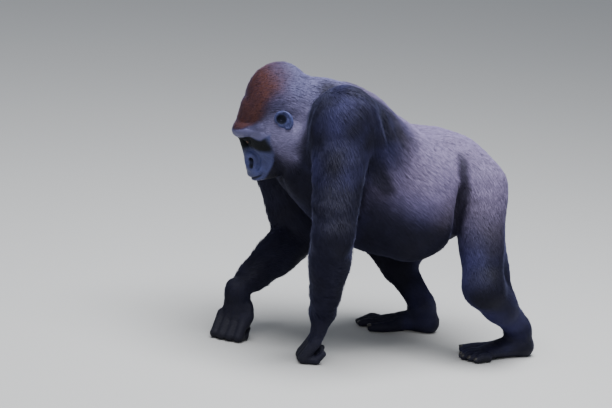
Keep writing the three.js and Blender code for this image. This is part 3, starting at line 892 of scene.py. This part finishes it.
def marks_and_shade(points):
    """How far each marking and each patch of painted shade reaches at each point, from the landmarks of the
    body.
    """
    ahead, left, up = HEAD.local(points).T
    x, y, z = points.T
    in_head = smooth(-110, -60, ahead)
    limb = ("upper_arm", "forearm", "shoulder")
    arms = np.minimum.reduce([zone.ratio(points) for name, zone in ZONES.items() if name.startswith(limb)])
    bare = bare_face(points)
    forehead = smooth(14, 44, up) * smooth(-70, 0, ahead)
    over_edge = up - np.interp(np.abs(left), *np.array(BROW_EDGE, float).T)
    # Painted shade on the throat and chest under the head.
    chest = smooth(650, 608, z) * smooth(-190, -240, y)
    near_head = smooth(-60, 20, ahead) * smooth(110, 60, np.abs(left))
    return {
        "crown": in_head * forehead * smooth(86, 62, np.abs(left)) * (1 - bare),
        "crown_top": in_head * smooth(60, 110, up) * smooth(30, -40, ahead),
        "grizzle": smooth(-190, -290, y) * smooth(640, 720, z) * (1 - near_head) * smooth(1.15, 1.45, arms),
        "cheek": in_head * smooth(52, 16, up) * (1 - 0.85 * smooth(60, 100, ahead)) * smooth(-160, -120, up)
        * smooth(132, 104, np.abs(left)) * (0.45 + 0.55 * smooth(30, -40, up)),
        "saddle": smooth(-400, 60, y) * smooth(1.0, 1.7, arms) * smooth(430, 640, z)
        * smooth(310, 270, np.abs(x)),
        "leg": smooth(-60, 160, y) * smooth(640, 520, z) * smooth(340, 620, z),
        # Painted shade under the belly, in the creases and under the head.
        "shade_under": np.maximum(
            smooth(520, 400, z + 0.55 * y * (y < 60)) * smooth(-260, -180, y) * smooth(110, 60, y),
            np.maximum(near_crease(points), chest),
        ),
        "bare": bare,
        "brow": smooth(-4, 5, over_edge),
        # Painted shade under the brow ridge and around the eyes, and inside the nostrils and between the
        # lips.
        "socket": np.maximum(
            smooth(4, -5, over_edge) * smooth(-62, -36, over_edge) * smooth(64, 90, ahead),
            shade_in_openings(points),
        ),
    }


def marked_and_shaded(paint, streak):
    """The coat's colour, with painted shade under the body and in the creases: `streak` is a fine light and
    dark variation along the hair.
    """
    # Patches of painted blue sheen on the black coat.
    colour = paint.blend(paint.ramp(paint.noise(5, 2), 0.35, 0.7), BLACK, BLUE_SHEEN_BLACK)
    light = 0.7 + 0.45 * streak
    for mark, tone in (("leg", GREY_BROWN), ("saddle", GREY), ("grizzle", LAVENDER), ("cheek", CHEEK),
                       ("crown_top", CROWN_TOP), ("crown", BROWN)):
        colour = paint.blend((paint.mask(mark) * light).clamped(), colour, tone)
    # Painted shade under the body, in the creases and under the head.
    return paint.blend((paint.mask("shade_under") * 0.85).clamped(), colour, BLACK)


def coat_material(name):
    paint = Paint(name)
    shade, along = paint.mask("shade"), paint.mask("along")
    streak = paint.ramp(shade, 0.2, 1.0)
    colour = marked_and_shaded(paint, streak)
    light = (0.62 + 0.4 * along) * (0.78 + 0.4 * shade)
    grey = paint.add("CombineColor", None, dict.fromkeys(range(3), light))
    colour = paint.blend(1.0, colour, grey, "MULTIPLY")
    return paint.surface(Base_Color=colour, Roughness=0.6, Specular_IOR_Level=0.12, Sheen_Weight=0.16,
                         Sheen_Roughness=0.35, Sheen_Tint=(0.50, 0.53, 1.0, 1))


def skin_material():
    paint = Paint("skin")
    grain = paint.noise(900, 4)
    colour = marked_and_shaded(paint, paint.noise(160, 3))
    # Painted shade: the skin under the coat is darkened to six tenths of the coat's colours.
    colour = paint.blend(1.0, colour, (0.6, 0.6, 0.62), "MULTIPLY")
    face_and_shade = paint.blend(paint.ramp(paint.noise(28, 4), 0.35, 0.7), FACE, tuple(1.5 * c for c in FACE))
    face_and_shade = paint.blend((paint.mask("brow") * (0.65 + 0.35 * paint.noise(60, 4))).clamped(), face_and_shade, BROW)
    # Painted shade under the brow, in the nostrils and between the lips.
    face_and_shade = paint.blend(paint.mask("socket"), face_and_shade, SOCKET_SHADE)
    bare = paint.mask("bare")
    colour = paint.blend(bare, colour, face_and_shade)
    furrow = paint.noise(90, 6, (1, 1, 2.4))
    place = paint.add("TexCoord", output="Object")
    pores = paint.add("TexVoronoi", None, {"Scale": 520.0, "Vector": place})
    normal = paint.bump(furrow, 0.004, 0.7)
    normal = paint.bump(pores, 0.0008, 0.8, normal)
    normal = paint.bump(grain, 0.0004, 0.5, normal)
    rough = 0.66 - 0.2 * bare + 0.4 * paint.mask("socket")
    return paint.surface(Base_Color=colour, Roughness=rough, Specular_IOR_Level=0.22, Normal=normal)


# ---------------------------------------------------------------- the coat

rng = np.random.default_rng(20)


class Grid:
    """A field's values on a grid, looked up between its points."""

    def __init__(self, values, low, step):
        self.low, self.step, self.shape = low, step, np.array(values.shape)
        slopes = np.gradient(values, step)
        self.stack = np.stack([values, *slopes], axis=-1).reshape(-1, 4)

    def look(self, points):
        place = np.clip((points - self.low) / self.step, 0, self.shape - 1.001)
        cell = place.astype(int)
        t = place - cell
        found = np.zeros((len(points), 4))
        for corner in np.ndindex(2, 2, 2):
            share = np.prod(np.where(corner, t, 1 - t), axis=1)
            found += share[:, None] * self.stack[np.ravel_multi_index((cell + corner).T, self.shape)]
        slope = found[:, 1:]
        return found[:, 0], slope / np.maximum(np.linalg.norm(slope, axis=1, keepdims=True), 1e-6)


# How deep a tuft is rooted, how much its tip droops, and how far a joint may move to the skin.
ROOT_DEPTH = 1.0
DROOP = 0.42
FURTHEST = 14


def strand_paths(grid, roots, normals, ways, lengths, lifts, joints):
    """Joints of each tuft from root to tip, following the skin at a rising height."""
    paths = [roots - normals * ROOT_DEPTH]
    place, way, normal = roots, ways, normals
    step = lengths / (joints - 1)
    for joint in range(1, joints):
        t = joint / (joints - 1)
        way = way - normal * (way * normal).sum(1, keepdims=True)
        way = units(way)
        place = place + way * step[:, None]
        here, normal = grid.look(place)
        height = lengths * lifts * (t - DROOP * t * t)
        place = place + normal * np.clip(height - here, -FURTHEST, FURTHEST)[:, None]
        paths.append(place)
    return np.stack(paths, axis=1)


def pieces_of_coat():
    """Which zones make up each piece, and the axis its skin is unrolled around."""
    head = (HEAD.at(-120, 0, 0), HEAD.at(200, 0, -20))
    body = (vec(0, -330, 640), vec(0, 240, 560))
    pieces = {
        "coat_head": (("crown", "face", "cheek_left", "cheek_right"), head),
        "coat_neck": (("nape", "throat"), (vec(4, -440, 740), vec(0, -120, 640))),
        "coat_back": (("back",), body),
        "coat_belly": (("belly",), body),
        "coat_rump": (("rump",), body),
    }
    for side, name in NAMES.items():
        shoulder, elbow, wrist = joints(ARM, side)
        hip, knee, ankle = joints(LEG, side)
        sole = foot_axes(side)
        pieces |= {
            "coat_shoulder_" + name: (("shoulder_" + name,), (shoulder, elbow)),
            "coat_upper_arm_" + name: (("upper_arm_" + name,), (shoulder, elbow)),
            "coat_forearm_" + name: (("forearm_" + name, "hand_" + name), (elbow, wrist)),
            "coat_thigh_" + name: (("thigh_" + name,), (hip, knee)),
            "coat_shank_" + name: (("shank_" + name,), (knee, ankle)),
            "coat_foot_" + name: (("foot_" + name,), (sole.at(-60, 0, 30), sole.at(220, 0, 20))),
        }
    return pieces


# The margin of the unrolled square, and how large each tuft's patch on it is.
UNROLL_EDGE = 0.02
PATCH = 0.003


def unrolled(roots, axis):
    """Places in the unit square of roots on skin unrolled around an axis."""
    start, end = axis
    way = unit(end - start)
    side = unit(np.cross(way, (0.3, 0.2, 1)))
    beside = np.cross(way, side)
    off = roots - start
    turn = np.arctan2(off @ beside, off @ side) / (2 * math.pi) + 0.5
    along = off @ way
    along = (along - along.min()) / max(np.ptp(along), 1e-6)
    square = np.stack([turn, along], axis=1)
    return UNROLL_EDGE + square * (1 - 2 * UNROLL_EDGE)


def waves(points, size, seed):
    """A smooth wandering value between -1 and 1."""
    turns = np.random.default_rng(seed).normal(size=(5, 3)) / size
    starts = np.random.default_rng(seed + 1).uniform(0, 6.28, 5)
    return np.sin(points @ turns.T + starts).mean(1) * 1.5


# Tufts at least this long get one more joint.
LONG_HAIR = 33
FULLNESS = 1.0


def scatter(points, faces, normals):
    """Roots spread over the skin by each zone's density, with the normal there."""
    a, b, c = (points[faces[:, k]] for k in range(3))
    area = np.linalg.norm(np.cross(b - a, c - a), axis=1) / 200
    middle = (a + b + c) / 3
    weights = zone_weights(middle)
    dense = weights @ ZONE_SIZES[:, 4]
    dense *= 1 - smooth(0.5, 0.97, bare_face(middle))
    dense *= smooth(8, 20, middle[:, 2])
    hands = sum(weights[:, ZONE_NAMES.index("hand_" + n)] for n in NAMES.values())
    feet = sum(weights[:, ZONE_NAMES.index("foot_" + n)] for n in NAMES.values())
    dense *= 1 - smooth(0.4, 0.7, hands) * smooth(88, 70, middle[:, 2])
    dense *= 1 - smooth(0.4, 0.7, feet) * smooth(34, 22, middle[:, 2])
    count = np.floor(area * dense * FULLNESS + rng.random(len(faces))).astype(int)
    owner = np.repeat(np.arange(len(faces)), count)
    u, v = rng.random((2, len(owner)))
    over = u + v > 1
    u, v = np.where(over, 1 - u, u), np.where(over, 1 - v, v)
    w = 1 - u - v
    corners = faces[owner]
    roots = sum(points[corners[:, k]] * t[:, None] for k, t in enumerate((w, u, v)))
    lean = sum(normals[corners[:, k]] * t[:, None] for k, t in enumerate((w, u, v)))
    return roots, lean / np.linalg.norm(lean, axis=1, keepdims=True)


def tuft_mesh(name, paths, widths, roots, normals, axis, material, shade):
    """V-shaped ribbons along the paths, each ending in a point, as one mesh."""
    count, joints = paths.shape[:2]
    profile = np.interp(np.linspace(0, 1, joints)[:-1], (0, 0.35, 1), (0.75, 1.0, 0.5))
    run = np.diff(paths, axis=1, append=paths[:, -1:])
    run[:, -1] = run[:, -2]
    run = units(run)
    side = units(np.cross(run, normals[:, None, :]))
    raised = np.cross(side, run)
    half = widths[:, None, None] * profile[None, :, None] / 2
    body = paths[:, :-1]
    left = body - side[:, :-1] * half
    right = body + side[:, :-1] * half
    ridge = body + raised[:, :-1] * half * 0.8
    rows = np.stack([left, ridge, right], axis=2).reshape(count, -1, 3)
    corners = np.concatenate([rows, paths[:, -1:]], axis=1)
    each = corners.shape[1]
    faces = []
    for row in range(joints - 2):
        for k in range(2):
            first, second = row * 3 + k, row * 3 + k + 1
            faces += [(first, second, second + 3), (first, second + 3, first + 3)]
    last = (joints - 2) * 3
    faces += [(last, last + 1, each - 1), (last + 1, last + 2, each - 1)]
    faces = np.array(faces)[:, ::-1]
    every = (np.arange(count)[:, None, None] * each + faces[None]).reshape(-1, 3)
    obj = mesh_object(name, corners.reshape(-1, 3), every, material)
    mesh = obj.data
    along = np.append(np.repeat(np.linspace(0, 1, joints)[:-1], 3), 1.0)
    set_mask(mesh, "along", np.tile(along, count))
    set_mask(mesh, "shade", np.repeat(shade, each))
    for mark, values in marks_and_shade(roots).items():
        if mark not in ("bare", "brow", "socket"):
            set_mask(mesh, mark, np.repeat(values, each))
    across = np.append(np.tile([-0.5, 0, 0.5], joints - 1), 0)
    patch = np.stack([across, along - 0.5], axis=1) * PATCH
    spots = unrolled(roots, axis)[:, None, :] + patch[None]
    layer = mesh.uv_layers.new(name="OFBake")
    layer.uv.foreach_set("vector", spots.reshape(-1, 2)[every.ravel()].astype(np.float32).ravel())
    return obj


def build_coat(points, faces, normals, grid):
    roots, lean = scatter(points, faces, normals)
    weights = zone_weights(roots)
    sizes = coat_sizes(roots, weights)
    home = weights.argmax(1)
    ways = sum(weights[:, k:k + 1] * zone.lie(roots) for k, zone in enumerate(ZONES.values()))
    ways = units(ways - lean * (ways * lean).sum(1, keepdims=True))
    turn = 0.14 * waves(roots, 26, 3) + 0.09 * waves(roots, 9, 5) + rng.normal(0, 0.10, len(roots))
    ways = ways * np.cos(turn)[:, None] + np.cross(lean, ways) * np.sin(turn)[:, None]
    lengths = sizes[:, 1] * rng.uniform(0.75, 1.2, len(roots)) * (1 + 0.12 * waves(roots, 12, 7))
    widths = sizes[:, 2] * rng.uniform(0.75, 1.25, len(roots))
    uneven = 1 + 0.25 * waves(roots, 10, 9) + rng.normal(0, 0.3, len(roots))
    lifts = np.radians(sizes[:, 3]) * np.maximum(0.25, uneven)
    shade = np.clip(0.5 + 0.12 * waves(roots, 5, 11) + rng.normal(0, 0.22, len(roots)), 0, 1)
    material = coat_material("coat")
    made = []
    for name, (zones, axis) in pieces_of_coat().items():
        mine = np.isin(home, [ZONE_NAMES.index(z) for z in zones]).nonzero()[0]
        for kind, chosen, joints in (
            ("", mine[sizes[mine, 1] < LONG_HAIR], 3), ("_long", mine[sizes[mine, 1] >= LONG_HAIR], 4),
        ):
            if not len(chosen):
                continue
            paths = strand_paths(grid, roots[chosen], lean[chosen], ways[chosen], lengths[chosen],
                                 lifts[chosen], joints)
            obj = tuft_mesh(name + kind, paths, widths[chosen], roots[chosen], lean[chosen], axis,
                            material, shade[chosen])
            made.append(obj)
    return made


# ---------------------------------------------------------------- eyes, nails and ears

def eye_material():
    paint = Paint("eye")
    gaze = paint.mask("gaze")
    iris = paint.blend(paint.ramp(gaze, 0.80, 0.93), (0.030, 0.010, 0.004), (0.060, 0.022, 0.008))
    white = paint.blend(paint.ramp(gaze, 0.70, 0.78), (0.028, 0.016, 0.012), iris)
    colour = paint.blend(paint.ramp(gaze, 0.955, 0.965), white, (0.001, 0.001, 0.001))
    return paint.surface(Base_Color=colour, Roughness=0.18, Specular_IOR_Level=0.12)


def ball_mesh(name, middle, radii, axes, material, rings=24):
    mesh = bpy.data.meshes.new(name)
    shape = bmesh.new()
    bmesh.ops.create_uvsphere(shape, u_segments=rings * 2, v_segments=rings, radius=1)
    for v in shape.verts:
        v.co = Vector(placed(middle + vec(v.co) * vec(radii) @ axes))
    for face in shape.faces:
        face.smooth = True
    shape.to_mesh(mesh)
    shape.free()
    mesh.materials.append(material)
    return in_scene(name, mesh)


def build_eyes():
    material = eye_material()
    for side, name in NAMES.items():
        middle = HEAD.at(EYE["ahead"], side * EYE["apart"], EYE["up"])
        eye = ball_mesh("eyeball_" + name, middle, [EYE["radius"]] * 3, HEAD.axes, material, 32)
        gaze = unit(HEAD.at(EYE["ahead"] + 60, side * (EYE["apart"] + 14), EYE["up"] - 8) - middle)
        around = np.array([v.co for v in eye.data.vertices]) - placed(middle)
        set_mask(eye.data, "gaze", around @ gaze / np.linalg.norm(around, axis=1))
        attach(eye, "root")
        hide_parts("eye_" + name)


EAR = {"apart": 100, "lean": 14}


def ear_field(side):
    """The ear's own masses in the head's axes: a shell with a rolled rim, a bowl and a flap."""
    solid, carved = [], []
    out = side * EAR["apart"]
    ball(HEAD.at(-3, out - side * 4, -8), (25, 11, 29), 4, HEAD, solid)
    rim = [(20, 2), (15, 15), (-1, 21), (-18, 14), (-26, -6), (-20, -26), (-6, -37), (6, -34)]
    tube([(HEAD.at(a, out + side * (3 - 0.1 * a), u), 5.2) for a, u in rim], 4, into=solid)
    fold = [(-12, 8), (-15, -6), (-9, -20)]
    tube([(HEAD.at(a, out + side * 3, u), 4) for a, u in fold], 5, into=solid)
    ball(HEAD.at(16, out, -12), (7, 7, 8), 5, HEAD, solid)
    ball(HEAD.at(3, out + side * 8, -1), (15, 16, 15), 5, HEAD, carved)
    ball(HEAD.at(-17, out + side * 8, 2), (5, 7, 12), 4, HEAD, carved)
    return solid, carved


def build_ears(material):
    step = 2.0
    for side, name in NAMES.items():
        solid, carved = ear_field(side)
        low = np.min([m.low for m in solid], axis=0) - 8
        high = np.max([m.high for m in solid], axis=0) + 8
        counts = tuple(int(n) for n in np.ceil((high - low) / step) + 1)
        values = field_on_grid(low, counts, step, [(solid, 1), (carved, -1)])
        points, quads = surface_net(values, low, step)
        flat, after = quads.ravel(), np.roll(quads, -1, axis=1).ravel()
        points = relaxed(points, neighbours(flat, after, len(points)), 0.5)
        ear = mesh_object("ear_shell_" + name, points, quads, material)
        bowl = HEAD.at(3, side * EAR["apart"], -1)
        # Painted shade in the ear's bowl, carried by the socket mask.
        deep = smooth(23, 12, np.linalg.norm(points - bowl, axis=1))
        masks = dict.fromkeys(MARKS_AND_SHADES, 0 * deep) | {"bare": np.ones(len(points)), "socket": 0.9 * deep}
        for mark, values in masks.items():
            set_mask(ear.data, mark, values)
        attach(ear, "root")
        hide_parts("ear_" + name)


def nail_material():
    paint = Paint("nail")
    worn = paint.ramp(paint.noise(120, 3), 0.35, 0.65)
    colour = paint.blend(worn, (0.012, 0.011, 0.011), (0.035, 0.03, 0.028))
    return paint.surface(Base_Color=colour, Roughness=0.35)


def build_nails():
    material = nail_material()
    nails = []
    for side, name in NAMES.items():
        sole = foot_axes(side)
        for toe in range(4):
            across, length = toe_reach(side, toe)
            middle = sole.at(length + 5, across, 18)
            tipped = Axes(middle, sole.axes[0] - vec(0, 0, 0.55), vec(0, 0, 1) + sole.axes[0] * 0.55)
            nails.append(ball_mesh(f"nail_{name}_{toe}", middle, (8, 7.5, 4.5), tipped.axes, material, 8))
        great = sole.at(165, -side * 80, 25)
        nails.append(ball_mesh(f"nail_{name}_great", great, (9, 9, 5), sole.axes, material, 8))
    for nail in nails:
        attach(nail, "root")


# ---------------------------------------------------------------- build the animal

skin_points, skin_faces, skin_normals, skin_grid = build_skin()
skin_look = skin_material()
skin = mesh_object("skin", skin_points, skin_faces, skin_look)
for _mark, _values in marks_and_shade(skin_points).items():
    set_mask(skin.data, _mark, _values)
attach(skin, "root")
FLESH = ["head", "neck", "trunk"]
FLESH += [f"{limb}_{name}" for limb in ("upper_arm", "forearm", "hand", "thigh", "shank", "foot")
          for name in NAMES.values()]
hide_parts(*FLESH)

build_eyes()
build_ears(skin_look)
build_nails()
coat = build_coat(skin_points, skin_faces, skin_normals, skin_grid)
GREY_PIECES = ("coat_back", "coat_rump", "coat_neck", "coat_thigh")
SLOTS = {"coat_head": "coat_brown"} | dict.fromkeys(GREY_PIECES, "coat_grey")
for piece in coat:
    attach(piece, "root")

# ---------------------------------------------------------------- floor, light and camera

SENSOR = 36
FLOOR_SIZE = 60
# Angles in degrees, the rest in metres: the distance, the width seen, and the aim beside the origin.
CAMERA = {"turn": 73, "rise": 13, "roll": 5, "away": 14, "across": 1.989, "right": -0.273, "up": 0.45175}


def build_stage():
    bpy.ops.mesh.primitive_plane_add(size=FLOOR_SIZE, location=(0, 0, 0))
    floor = bpy.context.object
    floor.name = "floor"
    paint = Paint("floor")
    floor.data.materials.append(paint.surface(Base_Color=(0.42, 0.42, 0.41, 1), Roughness=0.9))


def build_lights():
    world = bpy.data.worlds.new("world")
    bpy.context.scene.world = world
    world.use_nodes = True
    ground = world.node_tree.nodes["Background"]
    ground.inputs["Color"].default_value = (0.80, 0.87, 1.0, 1)
    ground.inputs["Strength"].default_value = 0.42
    # name, place, size, watts, colour
    for name, place, size, power, colour in (
        ("above", (0.7, 0.3, 4.4), 3.4, 560, (0.96, 0.97, 1.0)),
        ("beside", (4.2, -2.4, 2.6), 3.0, 90, (1.0, 0.98, 0.96)),
    ):
        light = bpy.data.lights.new(name, "AREA")
        light.size, light.energy, light.color = size, power, colour
        lamp = in_scene(name, light)
        lamp.location = place
        lamp.rotation_euler = (Vector((0, 0, 0.5)) - Vector(place)).to_track_quat("-Z", "Y").to_euler()


def build_camera():
    turn, rise, roll = (math.radians(CAMERA[k]) for k in ("turn", "rise", "roll"))
    right = Vector((math.cos(turn), math.sin(turn), 0))
    back = Vector((math.sin(turn) * math.cos(rise), -math.cos(turn) * math.cos(rise), math.sin(rise)))
    up = back.cross(right)
    across = right * math.cos(roll) + up * math.sin(roll)
    above = up * math.cos(roll) - right * math.sin(roll)
    target = Vector(placed(vec(0, 0, 0))) + across * CAMERA["right"] + above * CAMERA["up"]
    data = bpy.data.cameras.new("camera")
    data.sensor_width = SENSOR
    data.lens = SENSOR * CAMERA["away"] / CAMERA["across"]
    data.clip_end = 100
    camera = in_scene("camera", data)
    axes = Matrix((across, above, back)).transposed().to_4x4()
    camera.matrix_world = Matrix.Translation(target + back * CAMERA["away"]) @ axes
    bpy.context.scene.camera = camera


build_stage()
build_lights()
build_camera()
